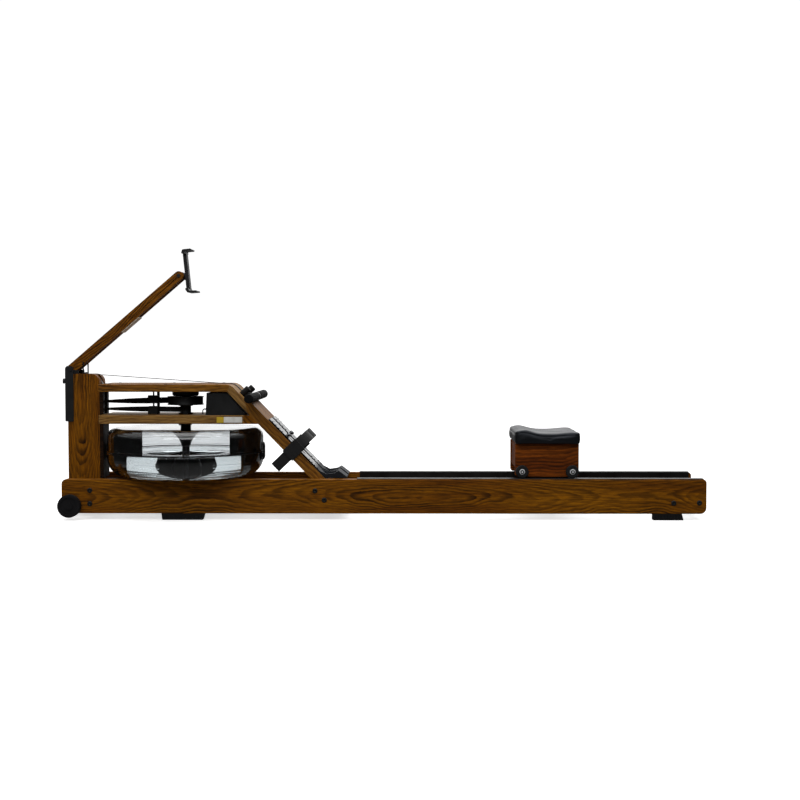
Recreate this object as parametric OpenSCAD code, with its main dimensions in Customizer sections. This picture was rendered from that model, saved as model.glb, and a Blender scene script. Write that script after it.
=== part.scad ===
// Water-resistance rowing machine: wooden rails, round clear water tank, rolling seat,
// strap-driven paddle and a hinged tablet arm. Millimetres.
// +X runs from the water tank towards the rear end, +Y is the rower's right, +Z is up.
// The origin is on the floor, at the middle of the machine's length and width.

/* [Rails] */
// Length of a side rail
rail_len = 2092; // [2080:2:2110]
// Height of a side rail
rail_h = 111.5; // [110:0.5:113]
// Thickness of a side rail
rail_t = 28; // [26:1:30]
// Width over both rails
frame_w = 275; // [273:1:277]
// Height of the rubber feet
foot_h = 21; // [20:0.5:22]

/* [Column and decks] */
// Height of the column's top above the floor
column_top = 472; // [470:1:474]
// Length of an upright along the machine
column_l = 105; // [104:1:108]
// Thickness of one upright
upright_t = 30; // [28:1:31]
// Gap between the uprights
column_gap = 28; // [27:1:30]
// Height of the top deck's upper face
deck_top = 439.5; // [439:0.5:440]
// Thickness of the top deck
deck_t = 24.5; // [24:0.5:25]

/* [Footboard] */
// Angle of the footboard above the floor
slope_a = 46; // [45.5:0.25:46.5]
// Thickness of the footboard
foot_t = 32; // [31:1:33]

/* [Water tank] */
// Radius of the tank's wall
tank_r = 258; // [254:1:259]
// Wall thickness of the tank
tank_wall = 4; // [3:0.5:5]
// Height of the tank
tank_h = 161.5; // [158:0.5:162]

/* [Drive] */
// Radius of the front pulley
pulley_r = 45; // [44:0.5:45.5]
// Radius of the strap wound on the drive spool
spool_r = 58; // [56:0.5:58]
// Width of the drive strap
strap_w = 20; // [18:0.5:20]
// Thickness of the drive strap
strap_t = 1.6; // [1.4:0.1:1.8]
// Length of the handle
handle_len = 450; // [440:2:470]

/* [Seat] */
// Length of the seat pad along the rails
pad_l = 217; // [212:1:220]
// Width of the seat pad
pad_w = 284; // [278:2:290]
// Radius of a seat wheel
wheel_r = 21; // [20.5:0.5:21]

/* [Tablet arm] */
// Distance between the arm's two pivots
arm_len = 473; // [460:1:480]
// Angle of the arm above the floor
arm_a = 40.7; // [40:0.1:42]

/* [Hidden] */
$fn = 64;
eps = 0.01;

// Rails
knob_reach = 26;
x_rear = (rail_len + knob_reach) / 2;
x_front = x_rear - rail_len;
y_out = frame_w / 2;
y_in = y_out - rail_t;
rail_top = foot_h + rail_h;
track_t = 3;
track_top = rail_top + track_t;
track_x0 = x_front + 960;
track_x1 = x_rear - 9;
bolt_r = 4;
bolt_bore = 4.1;
rail_bolt_xz = [
    [x_front + 92, 96], [x_front + 92, 52.5],
    [-209, 95], [-179, 65],
    [953, 56], [1036, 57]];

// Column
col_x1 = x_front + column_l;
gap_y = column_gap / 2;
col_y = gap_y + upright_t;
roll_x = x_front + 28.5;
roll_z = 46.5;
roll_r = 37;
axle_r = 5;

// Slope: s runs down the footboard's face from its upper reference point, h stands off it
slope_x = -475;
slope_z = 438.6;
ca = cos(slope_a);
sa = sin(slope_a);
function on_slope(s, h) = [slope_x + s * ca + h * sa, slope_z - s * sa + h * ca];
function slope_point(s, h, r = 0) = concat(on_slope(s, h), r);
nose_h = -8;
deck_bot = deck_top - deck_t;
lower_top = 338.2;
lower_bot = 310.5;
nose_top_s = (slope_z + nose_h * ca - deck_top) / sa;
nose_in_s = (slope_z - foot_t * ca - deck_bot) / sa;
mitre_out = on_slope(nose_top_s, nose_h);
mitre_in = on_slope(nose_in_s, -foot_t);
butt_in = on_slope(98, -foot_t);
butt_out = on_slope(58.5, nose_h);
butt_face = on_slope(45.3, 0);
board_end_s = 540;
nose_r = 38;
nose_c = [mitre_out[0] - nose_r * tan(slope_a / 2), deck_top - nose_r];
back_t = 11.5;
deck_x0 = col_x1 + back_t + 0.2;
strap_slot_y = 10;
strap_s0 = 270;
strap_s1 = 306;

// Tank and drive shaft
tank_x = -650;
tank_z0 = rail_top;
tank_z1 = rail_top + tank_h;
seam_z = tank_z0 + 82.5;
flange_r = tank_r + 4;
gasket_t = 3;
lower_corner = 62;
upper_corner = 30;
baffle_r = 146;
neck_r = 17;
shaft_r = 7.5;
plug_a = 100;
plug_ring = 178;
plug_r = 20;

// Strap drive
pulley_x = x_front + 64;
pulley_z = column_top - pulley_r - strap_t - 0.4;
strap_gap = 0.4;
spool_z0 = 369;
spool_z1 = 397;
recoil_r = 24;
recoil_z = 330;
hub_r = 18;
recoil_w = 18;
guide_x = -748;
bungee_x = pulley_x - recoil_r - strap_gap - strap_t / 2;
bungee_turn_r = 20;
bungee_turn_z = 140;

// Handle
handle_s = 72.8;
handle_off = 15.5;
grip_r = 14.5;
bar_r = 10;
handle_xz = on_slope(handle_s, handle_off);
post_s = 39.7;
post_y = 60;
post_r = 11.5;

// Heel rests
rest_y0 = 16;
rest_y1 = 100;
rest_mid = (rest_y0 + rest_y1) / 2;
pin_s = 241;
pin_step = 19;
head_r = 7.6;
floor_z = rail_top + 1.3;

// Seat
seat_x = 545;
wheel_z = track_top + wheel_r + 0.1;
wheel_dx = 81.7;
wheel_y = 121;
side_y = 112;
side_t = 16;
box_l = 207;
box_z0 = 139.5;
box_z1 = 247;
seat_axle_r = 4;
pad_z0 = box_z1 + 0.3;

// Tablet arm
arm_x = x_front + 8.8;
arm_z = 488.2;
arm_depth = 30;
arm_y0 = 13;
arm_y1 = 31;
arm_top = [arm_x + arm_len * cos(arm_a), arm_z + arm_len * sin(arm_a)];
knob_z = 447.6;
stay_x = -983.5;
stay_z = 510;
lean = 5.7;
cradle = [-642.2, 811.7];

wood = "#5f421b";
tan_wood = "#8f7247";
seat_wood = "#5c3010";
black = "#1b1b1c";
rubber = "#242426";
steel = "#b8babd";
clear = "#dfe9ee";

// ---------- helpers ----------

function unit(v) = v / norm(v);

// Points of the arc that rounds corner p between neighbours a and b
function corner(p, a, b, r, n = 5) =
    let (u = unit(a - p), v = unit(b - p), half = acos(u * v) / 2,
         c = p + unit(u + v) * r / sin(half), d = r / tan(half),
         s = p + u * d - c, e = p + v * d - c,
         a0 = atan2(s[1], s[0]), turn = atan2(s[0] * e[1] - s[1] * e[0], s * e))
    [for (i = [0:n]) c + r * [cos(a0 + turn * i / n), sin(a0 + turn * i / n)]];

// A closed outline with its corners rounded; each point is [x, z, radius]
function rounded(pts, n = 5) =
    let (m = len(pts))
    [for (i = [0:m - 1])
        let (q = pts[i], p = [q[0], q[1]],
             a = pts[(i + m - 1) % m], b = pts[(i + 1) % m])
        each (q[2] > 0 ? corner(p, [a[0], a[1]], [b[0], b[1]], q[2], n) : [p])];

function arc(c, r, a0, a1, n) =
    [for (i = [0:n]) c + r * [cos(a0 + (a1 - a0) * i / n), sin(a0 + (a1 - a0) * i / n)]];

// A thin strip of thickness t that follows a path
function strip(path, t) =
    let (m = len(path),
         nrm = [for (i = [0:m - 1])
             let (d = unit(path[min(i + 1, m - 1)] - path[max(i - 1, 0)]))
             [-d[1], d[0]]])
    concat([for (i = [0:m - 1]) path[i] + nrm[i] * t / 2],
           [for (i = [m - 1:-1:0]) path[i] - nrm[i] * t / 2]);

// Extrudes an XZ outline from y0 to y1
module xz(y0, y1) {
    translate([0, y1, 0]) rotate([90, 0, 0]) linear_extrude(y1 - y0) children();
}

// Extrudes an XY outline upwards
module prism(z0, z1) {
    translate([0, 0, z0]) linear_extrude(z1 - z0) children();
}

module y_rod(x, z, r, y0, y1) {
    translate([x, y0, z]) rotate([-90, 0, 0]) cylinder(r = r, h = y1 - y0);
}

module z_rod(x, y, r, z0, z1) {
    translate([x, y, z0]) cylinder(r = r, h = z1 - z0);
}

module tube(r1, r0, z0, z1) {
    difference() {
        translate([0, 0, z0]) cylinder(r = r1, h = z1 - z0);
        translate([0, 0, z0 - 1]) cylinder(r = r0, h = z1 - z0 + 2);
    }
}

module both_sides() {
    children();
    mirror([0, 1, 0]) children();
}

module slope_frame() {
    translate([slope_x, 0, slope_z]) rotate([0, slope_a, 0]) children();
}

module block(x0, x1, y0, y1, z0, z1) {
    translate([x0, y0, z0]) cube([x1 - x0, y1 - y0, z1 - z0]);
}

// A board between two Y faces whose long edges are eased
module eased_board(y0, y1, z0, z1, outline, r = 2.5) {
    intersection() {
        xz(y0, y1) polygon(outline);
        translate([x_front - 50, 0, 0]) rotate([90, 0, 90])
            linear_extrude(rail_len + 100)
                polygon(rounded([[y0, z0, r], [y1, z0, r], [y1, z1, r], [y0, z1, r]], 3));
    }
}

// A round tube of radius r along a path in the XZ plane at y = 0
module cord(path, r, sides = 10) {
    m = len(path);
    dirs = [for (i = [0:m - 1]) unit(path[min(i + 1, m - 1)] - path[max(i - 1, 0)])];
    points = [for (i = [0:m - 1], k = [0:sides - 1])
        let (a = 360 * k / sides, d = dirs[i])
        [path[i][0] - d[1] * r * cos(a), r * sin(a), path[i][1] + d[0] * r * cos(a)]];
    sides_f = [for (i = [0:m - 2], k = [0:sides - 1])
        let (k2 = (k + 1) % sides)
        [i * sides + k, i * sides + k2, (i + 1) * sides + k2, (i + 1) * sides + k]];
    polyhedron(points, concat(sides_f,
        [[for (k = [sides - 1:-1:0]) k]],
        [[for (k = [0:sides - 1]) (m - 1) * sides + k]]));
}

module bolt_bores(inner = 60) {
    for (b = rail_bolt_xz)
        both_sides() y_rod(b[0], b[1], bolt_bore, y_out - rail_t - inner, y_out + 1);
}

// ---------- wooden frame ----------

module rail() {
    outline = rounded([
        [x_front, foot_h, 16], [x_rear, foot_h, 20],
        [x_rear, rail_top, 10], [x_front, rail_top, 16]], 6);
    difference() {
        eased_board(y_in, y_out, foot_h, rail_top, outline);
        bolt_bores(0.5);
        y_rod(roll_x, roll_z, axle_r + 0.1, y_in - 1, y_out + 1);
    }
}

module rail_right() { color(wood) rail(); }

module rail_left() { color(wood) mirror([0, 1, 0]) rail(); }

module seat_tracks() {
    color(black) both_sides() {
        translate([track_x0, 0, 0]) rotate([90, 0, 90]) linear_extrude(track_x1 - track_x0)
            polygon(rounded([
                [y_in - track_t, track_top - 24, 0.8], [y_in, track_top - 24, 0],
                [y_in, rail_top, 0], [y_out - 3, rail_top, 0],
                [y_out - 3, track_top, 1], [y_in - track_t, track_top, 1.5]], 3));
    }
}

module upright() {
    outline = rounded([
        [x_front, foot_h + 3, 2], [col_x1, foot_h + 3, 2],
        [col_x1, column_top, 26], [x_front, column_top, 4]], 6);
    difference() {
        xz(gap_y, col_y) polygon(outline);
        y_rod(pulley_x, pulley_z, 6.1, 0, col_y - 5.8);
        y_rod(pulley_x, recoil_z, axle_r + 0.1, 0, col_y - 5.8);
        y_rod(roll_x, roll_z, axle_r + 0.1, 0, col_y + 1);
        block(col_x1 - 32, col_x1 + 1, 0, col_y + 1, 36, 112);
    }
}

module upright_right() { color(wood) upright(); }

module upright_left() { color(wood) mirror([0, 1, 0]) upright(); }

// Cross members between the rails, the board behind the column that the decks butt against,
// and the small block that takes the arm bracket's screw
module crosspieces() {
    color(wood) difference() {
        union() {
            block(col_x1 - 32, col_x1 + 4, -y_in, y_in, 36, 112);
            block(-690, -650, -y_in, y_in, 98, 130);
            block(938, 968, -y_in, y_in, 34, 96);
            block(1022, 1050, -y_in, y_in, 34, 96);
            block(x_front, x_front + 12.5, -gap_y, gap_y, 430, 465);
            difference() {
                block(col_x1 + 0.1, col_x1 + back_t, -col_y, col_y, 128, deck_top - 0.5);
                block(col_x1, col_x1 + back_t + 1, -17, 17, 340, deck_top + 1);
            }
        }
        bolt_bores();
        translate([x_front - 1, 0, knob_z]) rotate([0, 90, 0]) cylinder(r = 4.1, h = 20);
    }
}

module top_deck() {
    outline = concat([[deck_x0, deck_bot], [mitre_in[0], deck_bot]],
        arc(nose_c, nose_r, 90 - slope_a / 2, 90, 5), [[deck_x0, deck_top]]);
    color(wood) eased_board(-y_in, y_in, deck_bot, deck_top, outline, 2);
}

module deck_nose() {
    bend = arc(nose_c, nose_r, 90 - slope_a, 90 - slope_a / 2, 5);
    color(tan_wood) xz(-y_in, y_in) polygon(rounded(concat([
        [mitre_in[0] + 0.05, mitre_in[1], 0], [butt_in[0], butt_in[1], 0],
        [butt_out[0], butt_out[1], 2]], [for (p = bend) [p[0] + 0.05, p[1], 0]]), 3));
}

module lower_deck() {
    outline = rounded([
        [deck_x0, lower_bot, 0], [-444, lower_bot, 1],
        [-444, lower_top, 1], [deck_x0, lower_top, 0]], 3);
    color(tan_wood) difference() {
        eased_board(-y_in, y_in, lower_bot, lower_top, outline, 2);
        z_rod(tank_x, 0, 34, lower_bot - 1, lower_top + 1);
        z_rod(-593, 0, 2.6, lower_bot - 1, lower_top + 1);
    }
}

module footboard() {
    out_end = on_slope(board_end_s, 0);
    in_end = on_slope(board_end_s, -foot_t);
    color(wood) difference() {
        xz(-y_in, y_in) polygon(rounded([
            [butt_in[0] + 0.1, butt_in[1], 0], [in_end[0], in_end[1], 3],
            [out_end[0], out_end[1], 3], [butt_face[0] + 0.1, butt_face[1], 3]], 4));
        slope_frame() both_sides() {
            block(strap_s0 - 2, strap_s1 + 2, strap_slot_y - 3, strap_slot_y + 3, -foot_t - 5, 5);
            translate([post_s, post_y, -20]) cylinder(r = post_r + 0.3, h = 40);
            translate([pin_s, rest_mid, -18.1]) cylinder(r = 4.1, h = 30);
        }
    }
}

// Blocks under the footboard: one on the rails, one on the lower deck
module cleats() {
    under = -foot_t - 0.1;
    low_edge = on_slope((slope_z + under * ca - lower_bot) / sa, under);
    top_edge = on_slope((slope_z + under * ca - lower_top) / sa, under);
    color(wood) difference() {
        union() {
            slope_frame() block(412, 494, -y_in, y_in, -62, under);
            xz(-y_in, y_in) polygon([
                [-443.8, lower_bot], [low_edge[0], lower_bot],
                [top_edge[0], lower_top], [-443.8, lower_top]]);
        }
        bolt_bores();
    }
}

// ---------- feet, bolts and axles ----------

module foot(x0, x1, lead, trail) {
    ribs = 9;
    step = (x1 - x0) / (ribs + 1);
    difference() {
        xz(y_in + 1, y_out - 1) polygon(rounded([
            [x0 - lead, 0, 3], [x1 + trail, 0, 3], [x1, foot_h, 1], [x0, foot_h, 1]], 3));
        for (i = [1:ribs])
            block(x0 + i * step - 1.5, x0 + i * step + 1.5, y_out - 3, y_out + 1, 4, foot_h - 5);
    }
}

module rubber_feet() {
    color(rubber) both_sides() {
        foot(-709, -568, -3, -6);
        foot(887, 980, 0, 6);
    }
}

module rail_bolt(x, z) {
    y_rod(x, z, 8.5, y_out + 0.1, y_out + 3);
    y_rod(x, z, bolt_r, y_out - rail_t - 40, y_out + 1);
}

module rail_bolts() {
    color(black) both_sides() for (b = rail_bolt_xz) rail_bolt(b[0], b[1]);
}

module steel_axles() {
    color(steel) {
        y_rod(roll_x, roll_z, axle_r, -y_out - 22.5, y_out + 22.5);
        y_rod(pulley_x, pulley_z, 6, 6 - col_y, col_y - 6);
        y_rod(pulley_x, recoil_z, axle_r, 6 - col_y, col_y - 6);
        y_rod(bungee_x + bungee_turn_r, bungee_turn_z, bungee_turn_r - 4.8, -gap_y, gap_y);
    }
}

module transport_wheel() {
    y0 = y_out + 2.5;
    difference() {
        union() {
            y_rod(roll_x, roll_z, roll_r - 2, y0, y0 + 25);
            y_rod(roll_x, roll_z, roll_r, y0 + 2, y0 + 23);
        }
        y_rod(roll_x, roll_z, axle_r + 0.08, y0 - 1, y0 + 20.5);
        difference() {
            y_rod(roll_x, roll_z, 28, y0 + 22, y0 + 26);
            y_rod(roll_x, roll_z, 12, y0 + 20, y0 + 27);
        }
    }
}

module transport_wheel_right() { color(rubber) transport_wheel(); }

module transport_wheel_left() { color(rubber) mirror([0, 1, 0]) transport_wheel(); }

// ---------- water tank ----------

module at_shaft() { translate([tank_x, 0, 0]) children(); }

module tank_lower() {
    c = [tank_r - lower_corner, tank_z0 + lower_corner];
    top = seam_z - gasket_t / 2;
    color(clear) at_shaft() rotate_extrude($fn = 128) polygon(concat(
        [[0, tank_z0]], arc(c, lower_corner, -90, 0, 10),
        [[tank_r, top - 5], [flange_r, top - 4], [flange_r, top], [tank_r - tank_wall, top]],
        arc(c, lower_corner - tank_wall, 0, -90, 10), [[0, tank_z0 + tank_wall]]));
}

module tank_upper() {
    c = [tank_r - upper_corner, tank_z1 - upper_corner];
    low = seam_z + gasket_t / 2;
    color(clear) difference() {
        at_shaft() rotate_extrude($fn = 128) polygon(concat(
            [[tank_r - tank_wall, low], [flange_r, low], [flange_r, low + 4], [tank_r, low + 5]],
            arc(c, upper_corner, 0, 90, 8),
            [[neck_r + 0.3, tank_z1], [neck_r + 0.3, tank_z1 - tank_wall]],
            arc(c, upper_corner - tank_wall, 90, 0, 8)));
        at_shaft() rotate(plug_a) translate([plug_ring, 0, tank_z1 - 10])
            cylinder(r = plug_r - 1.6, h = 20);
    }
}

module tank_gasket() {
    color(rubber) at_shaft()
        tube(flange_r - 0.5, tank_r - tank_wall, seam_z - gasket_t / 2, seam_z + gasket_t / 2);
}

// Latches at the tank's ends that hold the two halves together
module tank_clips() {
    r0 = tank_r + 0.3;
    r1 = flange_r + 2.5;
    color(black) at_shaft() for (turn = [0, 180]) rotate(turn)
        translate([0, 13, 0]) rotate([90, 0, 0]) linear_extrude(26) polygon(rounded([
            [r0, seam_z - 29, 0], [r0 + 2.5, seam_z - 29, 1], [r1, seam_z - 20, 2],
            [r1, seam_z + 20, 2], [r0 + 2.5, seam_z + 29, 1], [r0, seam_z + 29, 0],
            [r0, seam_z + 7, 0], [flange_r + 0.1, seam_z + 7, 0],
            [flange_r + 0.1, seam_z - 7, 0], [r0, seam_z - 7, 0]], 2));
}

// Funnel under the tank's lid with its neck up to the lower deck, and the two still plates
// across the tank's ends
module shaft_shroud() {
    lid = tank_z1 - tank_wall;
    c = [82, lid - 73];
    low_c = [tank_r - lower_corner, tank_z0 + lower_corner];
    high_c = [tank_r - upper_corner, tank_z1 - upper_corner];
    room = tank_wall + 0.8;
    color(black) at_shaft() {
        rotate_extrude($fn = 96) polygon(concat(
            [[9, lower_bot - 0.3], [neck_r, lower_bot - 0.3], [neck_r, lid - 0.2], [82, lid - 0.2]],
            arc(c, 69, 90, 168, 10),
            [[9, c[1] + 69 * sin(168)]]));
        for (turn = [0, 180]) rotate(turn) xz(-1.5, 1.5) polygon(concat(
            [[baffle_r, tank_z0 + room]], arc(low_c, lower_corner - room, -90, 0, 8),
            arc(high_c, upper_corner - room, 0, 90, 6), [[baffle_r, tank_z1 - room]]));
    }
}

module fill_plug() {
    color(rubber) at_shaft() rotate(plug_a) translate([plug_ring, 0, 0])
        rotate_extrude() polygon(rounded([
            [0, tank_z1 - 9, 0], [plug_r - 3, tank_z1 - 9, 1.5], [plug_r - 2, tank_z1 + 0.1, 0],
            [plug_r + 3, tank_z1 + 0.1, 0], [plug_r + 3, tank_z1 + 4, 1.5], [0, tank_z1 + 5, 0]], 3));
}

module drive_shaft() {
    color(steel) at_shaft() translate([0, 0, tank_z0 + tank_wall + 1])
        cylinder(r = shaft_r, h = 273);
}

// Six diamond blades on a hub
module paddle() {
    blade = [[12, 213], [22, 211], [76, 181], [77, 177], [73, 171], [61, 161], [40, 150],
        [20, 142], [17, 142], [17, 152], [12, 153]];
    color(black) at_shaft() difference() {
        union() {
            translate([0, 0, 153]) cylinder(r = 15, h = 60);
            translate([0, 0, 212]) cylinder(r = 12.5, h = 18.6);
            for (i = [0:5]) rotate(60 * i + 12) translate([0, 2, 0])
                rotate([90, 0, 0]) linear_extrude(4) polygon(blade);
        }
        translate([0, 0, 130]) cylinder(r = shaft_r + 0.03, h = 102);
    }
}

module bearing_housing() {
    color(black) at_shaft() difference() {
        rotate_extrude() polygon(rounded([
            [0, 399, 0], [40, 399, 1], [44, 403, 2], [44, deck_bot - 0.1, 0],
            [0, deck_bot - 0.1, 0]], 3));
        translate([0, 0, 398]) cylinder(r = 17.05, h = 14);
    }
}

module shaft_bearings() {
    color(steel) at_shaft() {
        tube(17, shaft_r + 0.05, 400.5, 411.5);
        tube(14, shaft_r + 0.05, tank_z0 + tank_wall + 0.1, 150);
    }
}

// ---------- strap drive ----------

module front_pulley() {
    color(black) difference() {
        union() {
            y_rod(pulley_x, pulley_z, pulley_r, -11, 11);
            y_rod(pulley_x, pulley_z, 12, -13, 13);
        }
        y_rod(pulley_x, pulley_z, 6.06, -15, 15);
        for (i = [0:5]) y_rod(pulley_x + 28 * cos(60 * i), pulley_z + 28 * sin(60 * i), 8, -15, 15);
    }
}

module recoil_pulley() {
    color(black) difference() {
        union() {
            y_rod(pulley_x, recoil_z, recoil_r, -10, 10);
            y_rod(pulley_x, recoil_z, 10, -13, 13);
        }
        y_rod(pulley_x, recoil_z, axle_r + 0.06, -15, 15);
    }
}

// Drum for the drive strap over the small drum that winds the recoil strap
module drive_spool() {
    color(black) at_shaft() difference() {
        rotate_extrude($fn = 96) polygon([
            [0, 340], [hub_r + 6, 340], [hub_r + 6, 343], [hub_r, 344], [hub_r, 364.5],
            [hub_r + 6, 365.5], [hub_r + 6, spool_z0], [spool_r + 2, spool_z0],
            [spool_r + 2, spool_z0 + 3], [spool_r, spool_z0 + 3.3],
            [spool_r, spool_z1 - 3.3], [spool_r + 2, spool_z1 - 3],
            [spool_r + 2, spool_z1], [0, spool_z1]]);
        translate([0, 0, 330]) cylinder(r = shaft_r + 0.06, h = 80);
    }
}

// Where a ribbon from the guide meets a drum of radius r: [angle, length] of the tangent
function tangent(r, x) = let (d = tank_x - x) [asin(r / d), sqrt(d * d - r * r)];

module ribbon_to_drum(x, r, side, z, w) {
    t = tangent(r, x);
    translate([x, 0, z]) rotate(side * t[0]) translate([0, -strap_t / 2, -w / 2])
        cube([t[1], strap_t, w]);
}

// A flat ribbon from x0 to x1 that turns on edge
module turning_ribbon(x0, x1, z0, z1, w) {
    tilt = atan2(z0 - z1, x1 - x0);
    translate([x0, 0, z0]) rotate([0, 90 + tilt, 0])
        linear_extrude((x1 - x0) / cos(tilt), twist = 90, slices = 24)
            square([strap_t, w], center = true);
}

module drive_strap() {
    c = [pulley_x, pulley_z];
    r = pulley_r + strap_gap + strap_t / 2;
    land = [-528, deck_top + strap_gap + strap_t / 2];
    lift = asin((c[1] + r - land[1]) / norm(land - c));
    path = concat(
        arc(c, r, 270, 90 - lift, 28),
        [land, [nose_c[0] - 0.2, land[1]]]);
    ribbon_z = (spool_z0 + spool_z1) / 2;
    color(black) {
        xz(-strap_w / 2, strap_w / 2) polygon(strip(path, strap_t));
        turning_ribbon(pulley_x, guide_x, pulley_z - r, ribbon_z, strap_w);
        ribbon_to_drum(guide_x, spool_r + strap_gap + strap_t / 2, 1, ribbon_z, strap_w);
    }
}

module recoil_strap() {
    r = recoil_r + strap_gap + strap_t / 2;
    c = [pulley_x, recoil_z];
    path = concat([[c[0] - r, 252]], arc(c, r, 180, 90, 10));
    ribbon_z = 354;
    color(black) {
        xz(-recoil_w / 2, recoil_w / 2) polygon(strip(path, strap_t));
        turning_ribbon(pulley_x, guide_x, recoil_z + r, ribbon_z, recoil_w);
        ribbon_to_drum(guide_x, hub_r + strap_gap + strap_t / 2, -1, ribbon_z, recoil_w);
    }
}

// Elastic cord from the recoil strap, down the column and back under the tank
module bungee_cord() {
    turn = [bungee_x + bungee_turn_r, bungee_turn_z];
    path = concat([[bungee_x, 251.8], [bungee_x, 200]], arc(turn, bungee_turn_r, 180, 270, 8),
        [[bungee_x + 120, 120], [-690.2, 120]]);
    color("#3a3a3c") cord(path, 4.5);
}

module strap_guides() {
    color(black) {
        for (z = [[375, 400], [lower_top + 0.1, 364]]) both_sides() {
            block(-774, -739, 12, 14, z[0], z[1]);
        }
        block(-774, -739, -12, 12, 397.5, 400);
        for (y = [-3.8, 3.8]) z_rod(-757, y, 2, lower_top + 0.1, deck_bot - 0.1);
        both_sides() z_rod(-741, 13, 2.5, lower_top + 0.1, deck_bot - 0.1);
    }
}

module sensor_housing() {
    shell = 3;
    outline = [[-569, lower_top + 0.2], [-438, lower_top + 0.2], [-497, 411], [-565.5, 412]];
    hollow = [[-580, lower_top + shell], [-445, lower_top + shell], [-499, 407.5], [-580, 408.5]];
    color(black) difference() {
        xz(-98, 98) polygon(rounded([for (p = outline) [p[0], p[1], 2]], 3));
        xz(-95, 95) polygon(hollow);
    }
}

module sensor_cable() {
    path = concat([[-593, lower_bot + 2], [-593, 347]], arc([-586.5, 348], 6.5, 180, 30, 8),
        [[-579, 348], [-575, 345.4], [-569, 344.4], [-560, 344.4]]);
    color(black) cord(path, 2, 8);
}

// ---------- handle ----------

module handle_bar() {
    color(steel) difference() {
        y_rod(handle_xz[0], handle_xz[1], bar_r, -handle_len / 2 + 4, handle_len / 2 - 4);
        y_rod(handle_xz[0], handle_xz[1], bar_r - 2, -handle_len, handle_len);
    }
}

module handle_grips() {
    color(rubber) both_sides() translate([handle_xz[0], 0, handle_xz[1]]) rotate([-90, 0, 0])
        rotate_extrude() polygon(rounded([
            [bar_r + 0.05, 30, 0], [grip_r, 30, 2], [grip_r, handle_len / 2, 4],
            [0, handle_len / 2, 0], [0, handle_len / 2 - 3.8, 0],
            [bar_r + 0.05, handle_len / 2 - 3.8, 0]], 4));
}

// Clamp round the bar with a tongue for the strap's end
module handle_clip() {
    color(black) difference() {
        union() {
            y_rod(handle_xz[0], handle_xz[1], 13.5, -14, 14);
            slope_frame() translate([0, 13, 0]) rotate([90, 0, 0]) linear_extrude(26)
                polygon([[50, 2.6], [70, 8], [70, 22], [50, 8]]);
        }
        y_rod(handle_xz[0], handle_xz[1], bar_r + 0.05, -20, 20);
    }
}

module strap_lead() {
    lift = strap_gap + strap_t / 2;
    path = concat(arc(nose_c, nose_r + lift, 90, 90 - slope_a, 8),
        [on_slope(28, nose_h + lift), on_slope(49.4, 5.3)]);
    color(black) xz(-strap_w / 2, strap_w / 2) polygon(strip(path, strap_t));
}

module handle_posts() {
    color(rubber) both_sides() slope_frame() translate([post_s, post_y, nose_h + 0.05])
        rotate_extrude() polygon(rounded([
            [0, 0, 0], [post_r, 0, 0], [post_r, 31, 3], [0, 31, 0]], 4));
}

// ---------- foot rests ----------

module foot_pins() {
    color(steel) both_sides() slope_frame() translate([pin_s, rest_mid, 0]) {
        translate([0, 0, -18]) cylinder(r = 4, h = 26);
        rotate_extrude() polygon(rounded([
            [0, 7.8, 0], [head_r, 7.8, 0.5], [head_r, 14, 2.5], [0, 15.5, 0]], 3));
    }
}

// Plate that lies on the footboard, with a keyed slot over its pin and a cup for the heel
module heel_rest() {
    low = 0.5;
    face = 5.5;
    tip_s = 160;
    heel_s = (slope_z - floor_z + low * ca) / sa;
    profile = rounded([
        slope_point(tip_s, low), slope_point(heel_s, low), [-106, floor_z, 1.5],
        [-107, 137, 1.5], [-134, 158, 3], [-148, 150, 3], [-174, 146, 6],
        slope_point(396, face), slope_point(tip_s, face, 2)], 4);
    color(black) difference() {
        union() {
            xz(rest_y0, rest_y1) polygon(profile);
            slope_frame() for (s = [172:15:217]) rest_rib(s, face);
            slope_frame() for (s = [344:13:383]) rest_rib(s, face);
        }
        intersection() {
            translate([-176, rest_mid, floor_z + 5]) cylinder(r = 39, h = 60);
            slope_frame() block(300, 520, rest_y0 - 5, rest_y1 + 5, face - 0.3, 90);
        }
        slope_frame() {
            block(pin_s, pin_s + 4 * pin_step, rest_mid - 4.4, rest_mid + 4.4, -3, 20);
            for (i = [0:4]) translate([pin_s + pin_step * i, rest_mid, -3])
                cylinder(r = head_r + 0.6, h = 23);
        }
    }
}

module rest_rib(s, face) { block(s, s + 4, rest_y0 + 6, rest_y1 - 6, face - 1, face + 1.5); }

module heel_rest_right() { heel_rest(); }

module heel_rest_left() { mirror([0, 1, 0]) heel_rest(); }

// Webbing from the slot at the board's middle, over the foot and round the board's edge
module foot_strap() {
    web = 2.4;
    edge = y_in + 0.6 + web / 2;
    path = concat(
        [[strap_slot_y, -foot_t - 12], [strap_slot_y, 4], [strap_slot_y + 1.5, 16]],
        [for (i = [0:15]) [62 + 50 * cos(158 * (1 - i / 15)), 16 + 46 * sin(158 * (1 - i / 15))]],
        [[edge, 10], [edge, -foot_t], [edge + 1.5, -60], [edge + 0.5, -91]]);
    color(black) slope_frame() {
        translate([strap_s0, 0, 0]) rotate([90, 0, 90])
            linear_extrude(strap_s1 - strap_s0) polygon(strip(path, web));
        block(strap_s0 - 5, strap_s1 + 5, edge, edge + 4, -foot_t - 4, 22);
    }
}

module foot_straps() { both_sides() foot_strap(); }

// ---------- seat ----------

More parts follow.
